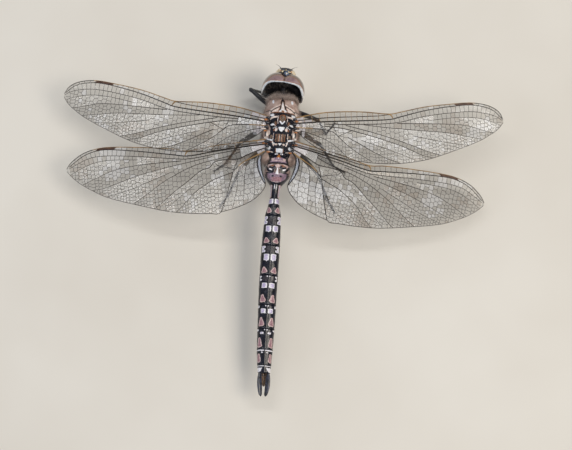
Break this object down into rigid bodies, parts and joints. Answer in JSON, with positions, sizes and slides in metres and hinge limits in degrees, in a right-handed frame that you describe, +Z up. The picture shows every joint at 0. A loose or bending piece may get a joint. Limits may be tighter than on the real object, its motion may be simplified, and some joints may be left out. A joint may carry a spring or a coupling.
{
  "type": "dragonfly",
  "caption": "Life-size male hawker dragonfly at rest on six feet, wings spread flat, slim spotted abdomen with two claspers.",
  "frame": {"origin": "on the floor, below the middle of the whole animal's box", "axes": "+Z up; the head faces -Y; the animal's left is +X, along the spread wings"},
  "size_m": [0.0854, 0.0644, 0.014],
  "materials": {
    "black_shell": "satin black insect shell",
    "brown_shell": "grey-brown downy thorax shell",
    "violet_shell": "greyish violet abdomen base",
    "eye_brown": "glossy faceted eye",
    "face_cream": "cream face plates",
    "wing_membrane": "clear wing film with dark veins"
  },
  "bodies": {
    "root": {"abdomen_1": "violet_shell", "abdomen_10": "black_shell", "abdomen_2": "violet_shell", "abdomen_3": "black_shell", "abdomen_4": "black_shell", "abdomen_5": "black_shell", "abdomen_6": "black_shell", "abdomen_7": "black_shell", "abdomen_8": "black_shell", "abdomen_9": "black_shell", "antenna_left": "black_shell", "antenna_right": "black_shell", "cercus_left": "black_shell", "cercus_right": "black_shell", "clypeus": "face_cream", "epiproct": "black_shell", "eye_left": "eye_brown", "eye_right": "eye_brown", "foreleg_left_coxa": "black_shell", "foreleg_left_femur": "black_shell", "foreleg_left_tarsus": "black_shell", "foreleg_left_tibia": "black_shell", "foreleg_right_coxa": "black_shell", "foreleg_right_femur": "black_shell", "foreleg_right_tarsus": "black_shell", "foreleg_right_tibia": "black_shell", "forewing_left": "wing_membrane", "forewing_right": "wing_membrane", "frons": "face_cream", "head": "black_shell", "hindleg_left_coxa": "black_shell", "hindleg_left_femur": "black_shell", "hindleg_left_tarsus": "black_shell", "hindleg_left_tibia": "black_shell", "hindleg_right_coxa": "black_shell", "hindleg_right_femur": "black_shell", "hindleg_right_tarsus": "black_shell", "hindleg_right_tibia": "black_shell", "hindwing_left": "wing_membrane", "hindwing_right": "wing_membrane", "labium": "face_cream", "labrum": "face_cream", "midleg_left_coxa": "black_shell", "midleg_left_femur": "black_shell", "midleg_left_tarsus": "black_shell", "midleg_left_tibia": "black_shell", "midleg_right_coxa": "black_shell", "midleg_right_femur": "black_shell", "midleg_right_tarsus": "black_shell", "midleg_right_tibia": "black_shell", "neck": "black_shell", "prothorax": "brown_shell", "thorax": "brown_shell", "vertex": "black_shell"}
  },
  "joints": []
}
